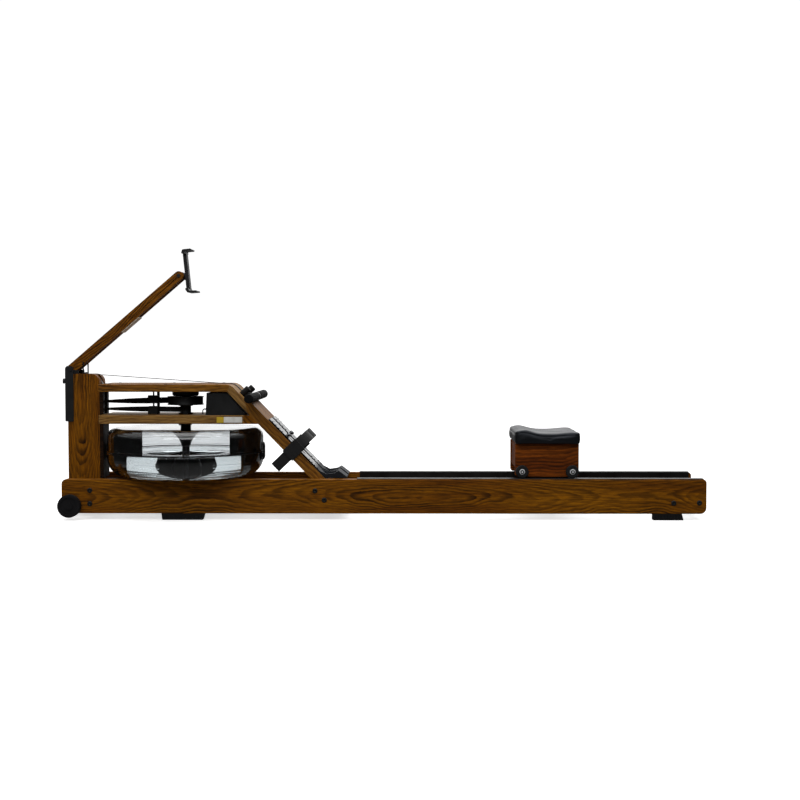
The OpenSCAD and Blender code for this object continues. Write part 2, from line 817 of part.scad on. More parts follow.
module seat_box() {
    x0 = seat_x - box_l / 2;
    x1 = seat_x + box_l / 2;
    color(seat_wood) {
        both_sides() difference() {
            xz(side_y - side_t, side_y) polygon(rounded([
                [x0, box_z0, 8], [x1, box_z0, 8], [x1, box_z1, 2], [x0, box_z1, 2]], 4));
            for (s = [-1, 1]) y_rod(seat_x + s * wheel_dx, wheel_z, seat_axle_r + 0.1, 90, 120);
        }
        for (x = [x0 + 4, x1 - 20])
            block(x, x + 16, -side_y + side_t, side_y - side_t, 166, box_z1 - 12.1);
        block(x0 + 4, x1 - 4, -side_y + side_t, side_y - side_t, box_z1 - 12, box_z1);
    }
}

module seat_pad() {
    x0 = seat_x - pad_l / 2;
    x1 = seat_x + pad_l / 2;
    y1 = pad_w / 2;
    color("#2a2c30") intersection() {
        xz(-y1, y1) polygon(rounded([
            [x0 + 2, pad_z0, 5], [x1 - 2, pad_z0, 5], [x1, 283, 10], [x1 - 30, 287, 30],
            [seat_x + 4, 281, 60], [x0 + 46, 292, 30], [x0, 296, 12]], 6));
        prism(pad_z0 - 1, 300) polygon(rounded([
            [x0 - 1, -y1, 34], [x1 + 1, -y1, 30], [x1 + 1, y1, 30], [x0 - 1, y1, 34]], 7));
    }
}

module seat_axles() {
    color(steel) for (s = [-1, 1]) {
        y_rod(seat_x + s * wheel_dx, wheel_z, seat_axle_r, -134, 134);
        both_sides() {
            y_rod(seat_x + s * wheel_dx, wheel_z, 9, 129.8, 131.3);
            translate([seat_x + s * wheel_dx, 131.3, wheel_z]) rotate([-90, 0, 0])
                cylinder(r = 6.5, h = 5, $fn = 6);
        }
    }
}

// Glides under the seat that run between the tracks' inner flanges
module seat_guides() {
    x0 = seat_x - 78;
    color(black) {
        for (x = [x0, x0 + 126]) {
            block(x, x + 30, -(y_in - track_t - 1.2), y_in - track_t - 1.2, 122, 131);
            both_sides() block(x + 5, x + 25, 78, 95.9, 131, 178);
        }
    }
}

module seat_wheel(dx) {
    x = seat_x + dx;
    difference() {
        union() {
            y_rod(x, wheel_z, wheel_r - 1.5, wheel_y - 8, wheel_y + 8);
            y_rod(x, wheel_z, wheel_r, wheel_y - 6.5, wheel_y + 6.5);
        }
        y_rod(x, wheel_z, seat_axle_r + 0.06, wheel_y - 10, wheel_y + 10);
    }
}

module seat_wheel_front_right() { color(black) seat_wheel(-wheel_dx); }

module seat_wheel_front_left() { color(black) mirror([0, 1, 0]) seat_wheel(-wheel_dx); }

module seat_wheel_rear_right() { color(black) seat_wheel(wheel_dx); }

module seat_wheel_rear_left() { color(black) mirror([0, 1, 0]) seat_wheel(wheel_dx); }

// ---------- tablet arm ----------

module arm_bracket() {
    x0 = x_front - 8;
    flange_x = x_front + 19.5;
    color(black) difference() {
        union() {
            both_sides() xz(col_y + 0.5, col_y + 3.5) polygon(rounded([
                [x0, 315, 3], [flange_x, 315, 3], [flange_x, 492, 4],
                [flange_x - 6, 498.5, 3], [x0 + 6, 498.5, 3], [x0, 492, 4]], 3));
            block(x0, x0 + 3, -col_y - 1, col_y + 1, 318, 466);
            both_sides() block(x0 + 2, x_front - 0.1, gap_y + 8, gap_y + 20, 318, 466);
            y_rod(arm_x, arm_z, 4, -50, 50);
            both_sides() {
                y_rod(arm_x, arm_z, 8.5, arm_y1 + 0.4, col_y + 1);
                y_rod(arm_x, arm_z, 7, col_y + 3, col_y + 7);
            }
        }
        translate([x0 - 5, 0, knob_z]) rotate([0, 90, 0]) cylinder(r = 4.1, h = 12);
    }
}

module arm_pads() {
    color(rubber) both_sides() block(x_front + 19, x_front + 35.2, 33, 43.5, column_top + 0.1, 485);
}

module arm_knob() {
    tip = -x_rear;
    color(black) translate([0, 0, knob_z]) rotate([0, 90, 0]) {
        translate([0, 0, tip]) difference() {
            cylinder(r = 8.7, h = x_front - 8.3 - tip);
            for (i = [0:7]) rotate(45 * i) translate([9.6, 0, -1]) cylinder(r = 2, h = 12);
        }
        translate([0, 0, x_front - 9]) cylinder(r = 4, h = 20);
    }
}

module along_arm() { translate([arm_x, 0, arm_z]) rotate([0, -arm_a, 0]) children(); }

// Two bars held apart by three spacer blocks
module arm_bars() {
    d = arm_depth / 2;
    bar = rounded([
        [-d, -d, d - 0.1], [arm_len + d, -d, d - 0.1],
        [arm_len + d, d, d - 0.1], [-d, d, d - 0.1]], 8);
    color(wood) difference() {
        along_arm() {
            both_sides() xz(arm_y0, arm_y1) polygon(bar);
            for (x = [110, 268, 410]) block(x, x + 34, -arm_y0 - eps, arm_y0 + eps, -d + 3, d - 3);
        }
        y_rod(arm_x, arm_z, 4.06, -60, 60);
        y_rod(arm_top[0], arm_top[1], 3.06, -60, 60);
        y_rod(stay_x, stay_z, 2.56, -60, 60);
    }
}

// Bent wire under the arm that stands on the column
module arm_stay() {
    foot_z = column_top + 2.9;
    color(black) {
        y_rod(stay_x, stay_z, 2.5, -36.5, 36.5);
        y_rod(stay_x, foot_z, 2.5, -36.5, 36.5);
        both_sides() z_rod(stay_x, 34, 2.3, foot_z, stay_z);
    }
}

module cradle_frame() { translate([cradle[0], 0, cradle[1]]) rotate([0, -lean, 0]) children(); }

// Knuckle at the arm's end with the spigot that the cradle turns on
module holder_neck() {
    color(black) {
        y_rod(arm_top[0], arm_top[1], 3, -34.5, 34.5);
        both_sides() y_rod(arm_top[0], arm_top[1], 6, 31.3, 34.5);
        difference() {
            union() {
                y_rod(arm_top[0], arm_top[1], 9, -12.6, 12.6);
                translate([0, 0, -4]) cradle_frame() block(-24, -13.5, -9, 9, -20, -2);
            }
            y_rod(arm_top[0], arm_top[1], 2.99, -13, 13);
        }
        cradle_frame() translate([-14, 0, -15]) rotate([0, 90, 0]) cylinder(r = 4, h = 11);
    }
}

// Grooved back of the cradle with its fixed lower jaw
module holder_back() {
    color(black) cradle_frame() difference() {
        union() {
            block(-6, 6, -17, 17, -58, 58);
            translate([-13.2, 0, -15]) rotate([0, 90, 0]) cylinder(r = 12, h = 8);
            translate([0, 40, 0]) rotate([90, 0, 0]) linear_extrude(80) polygon(rounded([
                [-6, -62, 3], [0, -71.5, 4], [30, -72.5, 3], [30, -66.5, 3], [6, -65.5, 3],
                [3, -56, 1], [-6, -56, 1]], 3));
        }
        block(-2.1, 3.1, -12.1, 12.1, -48, 75);
        translate([-14, 0, -15]) rotate([0, 90, 0]) cylinder(r = 4.05, h = 13);
    }
}

// Upper jaw on the slider that springs back into the cradle
module holder_jaw() {
    color(black) cradle_frame() {
        block(-2, 3, -12, 12, -40, 64);
        translate([0, 40, 0]) rotate([90, 0, 0]) linear_extrude(80) polygon(rounded([
            [-8, 58.4, 2], [4, 58.4, 1], [4, 66, 2], [26, 66, 3], [26, 72, 3], [-3, 72, 5]], 3));
    }
}

rail_left();
rail_right();
seat_tracks();
upright_left();
upright_right();
crosspieces();
top_deck();
deck_nose();
lower_deck();
cleats();
footboard();
rubber_feet();
rail_bolts();
steel_axles();
tank_lower();
tank_upper();
tank_gasket();
tank_clips();
shaft_shroud();
bearing_housing();
shaft_bearings();
sensor_housing();
sensor_cable();
strap_guides();
handle_posts();
foot_pins();
foot_straps();
arm_bracket();
arm_pads();
drive_strap();
recoil_strap();
bungee_cord();
fill_plug();
front_pulley();
recoil_pulley();
drive_spool();
drive_shaft();
paddle();
strap_lead();
handle_bar();
handle_grips();
handle_clip();
seat_box();
seat_pad();
seat_axles();
seat_guides();
seat_wheel_front_left();
seat_wheel_front_right();
seat_wheel_rear_left();
seat_wheel_rear_right();
transport_wheel_left();
transport_wheel_right();
heel_rest_left();
heel_rest_right();
arm_bars();
arm_stay();
arm_knob();
holder_neck();
holder_back();
holder_jaw();
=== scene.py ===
"""Looks of the rowing machine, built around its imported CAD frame. Metres, in the frame's axes."""
import math

import bmesh
import bpy
import numpy as np
from mathutils import Matrix, Vector


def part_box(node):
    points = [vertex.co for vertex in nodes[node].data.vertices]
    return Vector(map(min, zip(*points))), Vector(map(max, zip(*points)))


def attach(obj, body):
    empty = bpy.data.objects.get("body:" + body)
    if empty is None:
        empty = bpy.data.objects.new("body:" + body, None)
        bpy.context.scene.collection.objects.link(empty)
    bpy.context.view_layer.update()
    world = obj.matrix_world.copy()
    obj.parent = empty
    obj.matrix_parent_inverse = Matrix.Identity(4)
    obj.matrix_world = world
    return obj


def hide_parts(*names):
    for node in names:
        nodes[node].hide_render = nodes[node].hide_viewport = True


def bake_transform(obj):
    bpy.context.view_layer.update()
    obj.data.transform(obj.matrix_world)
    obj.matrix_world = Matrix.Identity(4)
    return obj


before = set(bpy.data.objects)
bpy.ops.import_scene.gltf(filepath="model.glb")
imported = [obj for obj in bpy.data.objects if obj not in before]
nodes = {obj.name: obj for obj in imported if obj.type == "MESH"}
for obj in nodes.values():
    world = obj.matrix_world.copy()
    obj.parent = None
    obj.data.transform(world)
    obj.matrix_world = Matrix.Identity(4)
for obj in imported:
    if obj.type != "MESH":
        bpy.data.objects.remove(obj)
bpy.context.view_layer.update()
scene = bpy.context.scene
scene.view_settings.view_transform = "Standard"


# ---------- camera, floor and light ----------

def make_camera():
    """Low side view, a little in front of the middle, as a catalogue shot has it."""
    data = bpy.data.cameras.new("camera")
    data.sensor_width = 36.0
    data.lens = 61.3
    data.clip_end = 60.0
    camera = bpy.data.objects.new("camera", data)
    camera.location = (0.1055, -4.5375, 0.571)
    camera.rotation_euler = (math.radians(90 - 2.353), 0.0, math.radians(0.504))
    scene.collection.objects.link(camera)
    scene.camera = camera


def make_world():
    """White to the eye, also through the clear tank; as a light, a bright ceiling and far wall
    over dim sides, as in a studio."""
    world = bpy.data.worlds.new("studio")
    world.use_nodes = True
    tree = world.node_tree
    tree.nodes.clear()
    link = tree.links.new

    def node(kind, **settings):
        made = tree.nodes.new(kind)
        for name, value in settings.items():
            setattr(made, name, value)
        return made

    def join(operation, a, b):
        made = node("ShaderNodeMath", operation=operation)
        for socket, value in zip(made.inputs, (a, b)):
            if isinstance(value, float):
                socket.default_value = value
            else:
                link(value, socket)
        return made.outputs[0]

    def rise(value, low, high, base, top):
        made = node("ShaderNodeMapRange")
        link(value, made.inputs["Value"])
        for name, number in (("From Min", low), ("From Max", high), ("To Min", base), ("To Max", top)):
            made.inputs[name].default_value = number
        return made.outputs[0]

    path = node("ShaderNodeLightPath").outputs
    direct = join("LESS_THAN", join("ADD", path["Diffuse Depth"], path["Glossy Depth"]), 0.5)
    through = join("MULTIPLY", path["Is Transmission Ray"], direct)
    seen = join("MAXIMUM", path["Is Camera Ray"], through)
    split = node("ShaderNodeSeparateXYZ")
    link(node("ShaderNodeTexCoord").outputs["Generated"], split.inputs[0])
    horizon = rise(split.outputs["Z"], -0.02, 0.06, 0.12, 1.0)
    far_wall = join("MULTIPLY", rise(split.outputs["Y"], 0.72, 0.96, 0.02, 1.1), horizon)
    ceiling = rise(split.outputs["Z"], 0.25, 0.8, 0.0, 0.8)
    below = rise(split.outputs["Z"], -0.35, -0.05, 0.16, 0.0)
    strength = node("ShaderNodeMix")
    strength.inputs["B"].default_value = 1.05
    link(join("ADD", join("ADD", far_wall, ceiling), below), strength.inputs["A"])
    link(seen, strength.inputs["Factor"])
    background = node("ShaderNodeBackground")
    background.inputs["Color"].default_value = (1, 1, 1, 1)
    link(strength.outputs[0], background.inputs["Strength"])
    link(background.outputs[0], node("ShaderNodeOutputWorld").inputs[0])
    scene.world = world


def make_light(name, place, target, size, power):
    data = bpy.data.lights.new(name, "AREA")
    data.shape = "RECTANGLE"
    data.size, data.size_y = size
    data.energy = power
    light = bpy.data.objects.new(name, data)
    light.location = place
    light.rotation_euler = (Vector(target) - Vector(place)).to_track_quat("-Z", "Y").to_euler()
    scene.collection.objects.link(light)


# ---------- material helpers ----------

def rgb(red, green, blue):
    """Linear colour from the usual 0 to 255 values."""
    def linear(value):
        value /= 255
        return value / 12.92 if value <= 0.04045 else ((value + 0.055) / 1.055) ** 2.4
    return (linear(red), linear(green), linear(blue), 1.0)


class Shader:
    """Builds one material out of short calls."""

    def __init__(self, name, **sockets):
        self.material = bpy.data.materials.new(name)
        self.material.use_nodes = True
        self.tree = self.material.node_tree
        self.bsdf = self.tree.nodes["Principled BSDF"]
        self.coordinate = self.new("ShaderNodeTexCoord").outputs["Object"]
        for socket, value in sockets.items():
            self.bsdf.inputs[socket.replace("_", " ")].default_value = value

    def new(self, kind):
        return self.tree.nodes.new(kind)

    def give(self, socket, value):
        if isinstance(value, bpy.types.NodeSocket):
            self.tree.links.new(value, socket)
        else:
            socket.default_value = value

    def feed(self, socket, value):
        self.give(self.bsdf.inputs[socket], value)

    def math(self, operation, a, b=0.0):
        node = self.new("ShaderNodeMath")
        node.operation = operation
        self.give(node.inputs[0], a)
        self.give(node.inputs[1], b)
        return node.outputs[0]

    def place(self, vector, scale=(1, 1, 1), turn=0.0):
        node = self.new("ShaderNodeMapping")
        self.give(node.inputs["Vector"], vector)
        node.inputs["Scale"].default_value = scale
        node.inputs["Rotation"].default_value = (0, turn, 0)
        return node.outputs[0]

    def split(self, vector):
        node = self.new("ShaderNodeSeparateXYZ")
        self.give(node.inputs[0], vector)
        return node.outputs

    def noise(self, vector, scale=1.0, detail=2.0, roughness=0.5):
        node = self.new("ShaderNodeTexNoise")
        self.give(node.inputs["Vector"], vector)
        node.inputs["Scale"].default_value = scale
        node.inputs["Detail"].default_value = detail
        node.inputs["Roughness"].default_value = roughness
        return node.outputs[0]

    def cells(self, vector, scale):
        node = self.new("ShaderNodeTexVoronoi")
        node.feature = "DISTANCE_TO_EDGE"
        self.give(node.inputs["Vector"], vector)
        node.inputs["Scale"].default_value = scale
        return node.outputs[0]

    def range(self, value, low, high, to_low=0.0, to_high=1.0):
        node = self.new("ShaderNodeMapRange")
        self.give(node.inputs["Value"], value)
        for socket, number in zip(("From Min", "From Max", "To Min", "To Max"),
                                  (low, high, to_low, to_high)):
            node.inputs[socket].default_value = number
        return node.outputs[0]

    def ramp(self, value, stops):
        node = self.new("ShaderNodeValToRGB")
        self.give(node.inputs[0], value)
        while len(node.color_ramp.elements) < len(stops):
            node.color_ramp.elements.new(0.5)
        for element, (place, grey) in zip(node.color_ramp.elements, stops):
            element.position = place
            element.color = (grey, grey, grey, 1)
        return node.outputs[0]

    def mix(self, amount, a, b, blend="MIX"):
        node = self.new("ShaderNodeMix")
        node.data_type = "RGBA"
        node.blend_type = blend
        self.give(node.inputs["Factor"], amount)
        self.give(node.inputs[6], a)
        self.give(node.inputs[7], b)
        return node.outputs[2]

    def bump(self, height, strength, distance):
        node = self.new("ShaderNodeBump")
        node.inputs["Strength"].default_value = strength
        node.inputs["Distance"].default_value = distance
        self.give(node.inputs["Height"], height)
        self.give(self.bsdf.inputs["Normal"], node.outputs[0])


def paint(material, *names):
    for name in names:
        slots = nodes[name].data.materials
        slots.clear()
        slots.append(material)


# ---------- wood ----------

ARM_SLOPE = 40.7
NOSE_SLOPE = -46.0

OLIVE = (rgb(176, 110, 10), rgb(140, 80, 4), rgb(40, 16, 1))
BROWN = (rgb(182, 124, 44), rgb(146, 92, 26), rgb(52, 25, 5))
TAN = (rgb(196, 152, 88), rgb(164, 118, 58), rgb(84, 50, 18))
RED = (rgb(170, 86, 16), rgb(122, 54, 8), rgb(36, 12, 2))
DARK = (rgb(58, 34, 12), rgb(42, 23, 7), rgb(20, 9, 2))
RING = 0.0058


def wood(node, tone, grain=0.0, depth=0.03, swing=0.02, period=1.2, crest=0.0, offset=0.0):
    """Sawn board: growth rings round a pith behind its near face, fibres and open pores along the
    grain. The pith comes nearest to the face at the crest and falls away either side, which draws
    the tall pointed arches; offset is how far it runs off the board's middle."""
    light, middle, dark = tone
    low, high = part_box(node)
    turn = math.radians(grain)
    centre = Matrix.Rotation(turn, 3, "Y") @ ((low + high) / 2)
    s = Shader(f"wood_{node}", Specular_IOR_Level=0.12)
    board = s.place(s.coordinate, turn=turn)
    along, across, up = s.split(board)
    drift = s.range(s.noise(s.place(board, (2.6, 2, 2)), 1, 3, 0.6), 0.25, 0.75, -0.014, 0.014)
    turns = s.math("MULTIPLY", s.math("SUBTRACT", along, crest), 2 * math.pi / period)
    wave = s.math("MULTIPLY", s.math("COSINE", turns), -swing)
    a = s.math("SUBTRACT", s.math("SUBTRACT", across, centre.y + depth), wave)
    a = s.math("ADD", a, s.math("MULTIPLY", drift, 0.5))
    b = s.math("ADD", s.math("SUBTRACT", up, centre.z + offset), drift)
    radius = s.math("SQRT", s.math("ADD", s.math("MULTIPLY", a, a), s.math("MULTIPLY", b, b)))
    ripple = s.range(s.noise(s.place(board, (9, 60, 60)), 1, 4, 0.62), 0, 1, -0.0034, 0.0034)
    rings = s.math("DIVIDE", s.math("ADD", radius, ripple), RING)
    edge = s.ramp(s.math("FRACT", rings),
                  [(0, 0.0), (0.28, 0.06), (0.58, 0.8), (0.86, 1.0), (0.97, 0.0)])
    number = s.new("ShaderNodeCombineXYZ")
    s.give(number.inputs[0], s.math("MULTIPLY", s.math("FLOOR", rings), 3.7))
    line = s.math("MULTIPLY", edge, s.range(s.noise(number.outputs[0]), 0.35, 0.6, 0.3, 1.0))
    patch = s.range(s.noise(s.place(board, (5, 26, 26)), 1, 2), 0.35, 0.58, 0.45, 1.0)
    line = s.math("MULTIPLY", line, patch)
    fibre = s.noise(s.place(board, (12, 300, 300)), 1, 3, 0.7)
    tint = s.range(s.noise(s.place(board, (2.2, 22, 22)), 1, 3), 0.35, 0.65)
    pores = s.range(s.noise(s.place(board, (34, 700, 700)), 1, 2), 0.55, 0.66)
    colour = s.mix(tint, light, middle)
    colour = s.mix(line, colour, dark)
    colour = s.mix(0.9, colour, s.ramp(fibre, [(0.32, 0.34), (0.66, 1.0)]), "MULTIPLY")
    colour = s.mix(s.math("MULTIPLY", pores, 0.6), colour, dark)
    s.feed("Base Color", colour)
    s.feed("Roughness", s.range(fibre, 0.3, 0.7, 0.6, 0.46))
    height = s.math("SUBTRACT", s.math("MULTIPLY", fibre, 0.5), s.math("MULTIPLY", pores, 0.8))
    s.bump(height, 0.22, 0.0006)
    paint(s.material, node)


def all_wood():
    wood("rail_left", OLIVE, 0, 0.034, 0.022, 1.3, 0.1, 0.004)
    wood("rail_right", OLIVE, 0, -0.04, -0.026, 1.36, -0.85, -0.008)
    wood("upright_left", OLIVE, 90, 0.03, 0.02, 0.9, -0.5, 0.01)
    wood("upright_right", OLIVE, 90, -0.033, -0.024, 0.8, -0.24, -0.004)
    wood("crosspieces", DARK, 0, 0.1, 0.004, 0.8, 0.0, 0.04)
    wood("top_deck", BROWN, 0, 0.05, 0.006, 0.8, 1.0, 0.09)
    wood("lower_deck", TAN, 0, 0.05, 0.006, 0.8, 2.4, 0.1)
    wood("deck_nose", TAN, NOSE_SLOPE, 0.05, 0.006, 0.7, 0.4, 0.09)
    wood("footboard", BROWN, NOSE_SLOPE, 0.05, 0.006, 0.8, 1.9, 0.08)
    wood("cleats", OLIVE, NOSE_SLOPE, 0.06, 0.005, 0.8, 0.9, 0.07)
    wood("arm_bars", OLIVE, ARM_SLOPE, 0.04, 0.005, 0.5, 0.2, 0.07)
    wood("seat_box", RED, 0, 0.06, 0.008, 0.5, 0.5, 0.11)


# ---------- other materials ----------

def plastic(name, colour, roughness, texture=1500.0, specular=0.3):
    """Moulded plastic or rubber with a fine spark-eroded grain and slight uneven gloss."""
    s = Shader(name, Specular_IOR_Level=specular)
    grain = s.noise(s.coordinate, texture, 2, 0.6)
    cloud = s.noise(s.coordinate, 24, 3, 0.6)
    lighter = tuple(min(1.0, 1.5 * c + 0.0015) for c in colour[:3]) + (1.0,)
    s.feed("Base Color", s.mix(s.range(cloud, 0.35, 0.75), colour, lighter))
    s.feed("Roughness", s.range(cloud, 0.3, 0.7, roughness - 0.06, roughness + 0.08))
    s.bump(grain, 0.22, 0.00025)
    return s.material


def brushed(name, colour, roughness, metallic=1.0):
    """Metal with fine turning marks, which run round a part's Y axis."""
    s = Shader(name, Metallic=metallic)
    marks = s.noise(s.place(s.coordinate, (60, 2600, 60)), 1, 3, 0.6)
    cloud = s.noise(s.coordinate, 30, 2)
    darker = tuple(0.72 * c for c in colour[:3]) + (1.0,)
    s.feed("Base Color", s.mix(s.range(cloud, 0.35, 0.7), colour, darker))
    s.feed("Roughness", s.range(marks, 0.3, 0.7, roughness - 0.07, roughness + 0.1))
    s.bump(marks, 0.12, 0.0001)
    return s.material


def heel_plastic():
    """Heel rest: polished sole plate that catches the light behind, matt ribbed cup at its end."""
    s = Shader("heel_plastic", Specular_IOR_Level=0.4, Specular_Tint=(0.72, 0.82, 1.0, 1.0))
    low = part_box("heel_rest_left")[0]
    height = s.split(s.coordinate)["Z"]
    cup = s.range(height, low.z + 0.030, low.z + 0.042, 1.0, 0.0)
    cloud = s.noise(s.coordinate, 24, 3, 0.6)
    s.feed("Base Color", s.mix(s.range(cloud, 0.35, 0.75), rgb(10, 10, 11), rgb(17, 17, 19)))
    polish = s.range(cloud, 0.3, 0.7, 0.1, 0.2)
    s.feed("Roughness", s.math("ADD", s.math("MULTIPLY", cup, 0.45), polish))
    s.bump(s.noise(s.coordinate, 900, 2, 0.6), 0.2, 0.00025)
    return s.material


def axle_steel():
    """Seat axle: bright zinc-plated washer and bright threaded end, with a ring of painted shade between
    them, a dark band by distance from the axle that stands for the shaded gap round the nut.
    """
    s = Shader("axle_steel", Metallic=0.25)
    low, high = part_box("seat_axles")
    washer = (high.z - low.z) / 2
    place = s.split(s.coordinate)
    middle = (low.x + high.x) / 2
    reach = (high.x - low.x) / 2 - washer
    a = s.math("SUBTRACT", s.math("ABSOLUTE", s.math("SUBTRACT", place["X"], middle)), reach)
    b = s.math("SUBTRACT", place["Z"], (low.z + high.z) / 2)
    radius = s.math("SQRT", s.math("ADD", s.math("MULTIPLY", a, a), s.math("MULTIPLY", b, b)))
    # Painted shade: the band between these two radii is coloured dark to stand for the shaded gap round
    # the nut.
    inside = s.range(radius, washer * 0.68, washer * 0.72, 1, 0)
    outside = s.range(radius, washer * 0.3, washer * 0.34, 0, 1)
    marks = s.noise(s.place(s.coordinate, (60, 2600, 60)), 1, 3, 0.6)
    bright = s.mix(marks, rgb(250, 251, 252), rgb(226, 228, 230))
    s.feed("Base Color", s.mix(s.math("MULTIPLY", inside, outside), bright, rgb(34, 35, 37)))
    s.feed("Roughness", s.range(marks, 0.3, 0.7, 0.3, 0.45))
    s.bump(marks, 0.12, 0.0001)
    return s.material


def foam():
    """Closed-cell grip foam with small open pits."""
    s = Shader("grip_foam", Specular_IOR_Level=0.12)
    pits = s.range(s.cells(s.coordinate, 900), 0.0, 0.25)
    soft = s.noise(s.coordinate, 60, 3)
    s.feed("Base Color", s.mix(s.range(soft, 0.3, 0.7), rgb(9, 9, 10), rgb(17, 17, 18)))
    s.feed("Roughness", s.range(soft, 0.3, 0.7, 0.78, 0.9))
    s.bump(pits, 0.35, 0.0004)
    return s.material


def webbing(name, colour, pitch=0.0016):
    """Plain weave: ribs across the strap's width crossed by ribs along its run."""
    s = Shader(name, Specular_IOR_Level=0.25, Sheen_Weight=0.15)
    x, y, z = s.split(s.coordinate)
    turns = 2 * math.pi / pitch
    across = s.math("SINE", s.math("MULTIPLY", y, turns))
    run = s.math("SINE", s.math("MULTIPLY", s.math("ADD", x, z), turns))
    weave = s.range(s.math("MULTIPLY", across, run), -1, 1)
    fuzz = s.noise(s.coordinate, 2200, 2)
    lighter = tuple(min(1.0, 2.6 * c + 0.006) for c in colour[:3]) + (1.0,)
    s.feed("Base Color", s.mix(s.math("MULTIPLY", weave, fuzz), colour, lighter))
    s.feed("Roughness", s.range(fuzz, 0.3, 0.7, 0.62, 0.8))
    s.bump(weave, 0.5, 0.0003)
    return s.material


def braid(name):
    """Round braided sleeve of an elastic cord."""
    s = Shader(name, Specular_IOR_Level=0.25)
    x, y, z = s.split(s.coordinate)
    left = s.math("SINE", s.math("MULTIPLY", s.math("ADD", s.math("ADD", x, z), y), 2400))
    right = s.math("SINE", s.math("MULTIPLY", s.math("SUBTRACT", s.math("ADD", x, z), y), 2400))
    weave = s.range(s.math("MAXIMUM", left, right), -0.4, 1)
    s.feed("Base Color", s.mix(weave, rgb(16, 16, 17), rgb(52, 52, 55)))
    s.feed("Roughness", s.range(weave, 0, 1, 0.8, 0.6))
    s.bump(weave, 0.5, 0.0004)
    return s.material


def clear_shell():
    """Moulded polycarbonate, with the slight waviness of its surface."""
    s = Shader("clear_shell", IOR=1.5, Transmission_Weight=1.0)
    waves = s.noise(s.coordinate, 9, 2)
    s.feed("Base Color", s.mix(waves, rgb(239, 241, 242), rgb(231, 234, 236)))
    s.feed("Roughness", s.range(s.noise(s.coordinate, 40, 3), 0.4, 0.8, 0.0, 0.03))
    s.bump(waves, 0.15, 0.002)
    return s.material


def water():
    s = Shader("water", IOR=1.333, Transmission_Weight=1.0, Roughness=0.0)
    tint = s.noise(s.coordinate, 5, 1)
    s.feed("Base Color", s.mix(tint, rgb(248, 252, 252), rgb(240, 248, 250)))
    s.bump(s.noise(s.coordinate, 14, 2), 0.1, 0.001)
    return s.material


def vinyl():
    """Seat skin: small leather-like cells, smooth enough to catch the light behind."""
    s = Shader("seat_cover", Specular_IOR_Level=0.35, Specular_Tint=(0.8, 0.86, 1.0, 1.0))
    cells = s.range(s.cells(s.coordinate, 620), 0.0, 0.2)
    cloud = s.noise(s.coordinate, 18, 3)
    s.feed("Base Color", s.mix(s.range(cloud, 0.3, 0.7), rgb(11, 12, 13), rgb(18, 19, 21)))
    s.feed("Roughness", s.range(cloud, 0.3, 0.7, 0.36, 0.48))
    s.bump(cells, 0.2, 0.0003)
    return s.material


def label(name, colour, worn):
    """Blank paper sticker, a little yellowed and rubbed."""
    s = Shader(name, Specular_IOR_Level=0.4)
    fibres = s.noise(s.coordinate, 420, 3)
    stain = s.noise(s.coordinate, 45, 3)
    s.feed("Base Color", s.mix(s.range(stain, 0.4, 0.75), colour, worn))
    s.feed("Roughness", s.range(fibres, 0.3, 0.7, 0.4, 0.55))
    s.bump(fibres, 0.1, 0.0001)
    return s.material


def all_materials():
    black = plastic("black_plastic", rgb(18, 18, 19), 0.45)
    paint(black, "tank_clips", "shaft_shroud", "bearing_housing", "sensor_housing",
          "strap_guides", "front_pulley", "recoil_pulley", "drive_spool", "handle_clip",
          "seat_guides", "arm_knob", "holder_neck", "holder_back", "holder_jaw", "paddle")
    paint(plastic("track_plastic", rgb(15, 14, 14), 0.36), "seat_tracks")
    paint(heel_plastic(), "heel_rest_left", "heel_rest_right")
    paint(plastic("wheel_tread", rgb(19, 19, 20), 0.5, 1100), "seat_wheel_front_left",
          "seat_wheel_front_right", "seat_wheel_rear_left", "seat_wheel_rear_right")
    paint(plastic("roller_rubber", rgb(19, 18, 20), 0.66, 800, 0.18),
          "transport_wheel_left", "transport_wheel_right")
    paint(plastic("black_rubber", rgb(19, 18, 19), 0.7, 900, 0.22), "rubber_feet",
          "tank_gasket", "handle_posts", "arm_pads", "fill_plug")
    paint(plastic("cable_skin", rgb(16, 16, 17), 0.5, 1200), "sensor_cable")
    paint(plastic("bracket_paint", rgb(15, 15, 16), 0.5, 1300, 0.35), "arm_bracket")
    steel = brushed("bright_steel", rgb(196, 198, 201), 0.3)
    paint(steel, "steel_axles", "shaft_bearings", "drive_shaft")
    paint(brushed("pin_steel", rgb(120, 122, 126), 0.22), "foot_pins")
    paint(axle_steel(), "seat_axles")
    paint(plastic("stay_steel", rgb(14, 14, 15), 0.6, 1300, 0.2), "arm_stay")
    paint(brushed("handle_metal", rgb(228, 229, 230), 0.34, 0.3), "handle_bar")
    paint(foam(), "handle_grips")
    paint(webbing("strap_web", rgb(17, 17, 18)), "drive_strap", "recoil_strap")
    paint(webbing("foot_web", rgb(15, 15, 16), 0.0022), "foot_straps")
    paint(braid("cord_sleeve"), "bungee_cord")
    paint(clear_shell(), "tank_lower", "tank_upper")


# ---------- mesh helpers ----------

def add(name, mesh, material, body, smooth=True):
    piece = bpy.data.objects.new(name, mesh)
    scene.collection.objects.link(piece)
    mesh.materials.append(material)
    for face in mesh.polygons:
        face.use_smooth = smooth
    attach(piece, body)
    return piece


def mesh_of(points, faces, name):
    mesh = bpy.data.meshes.new(name)
    mesh.from_pydata([tuple(p) for p in points], [], faces)
    mesh.update()
    return mesh


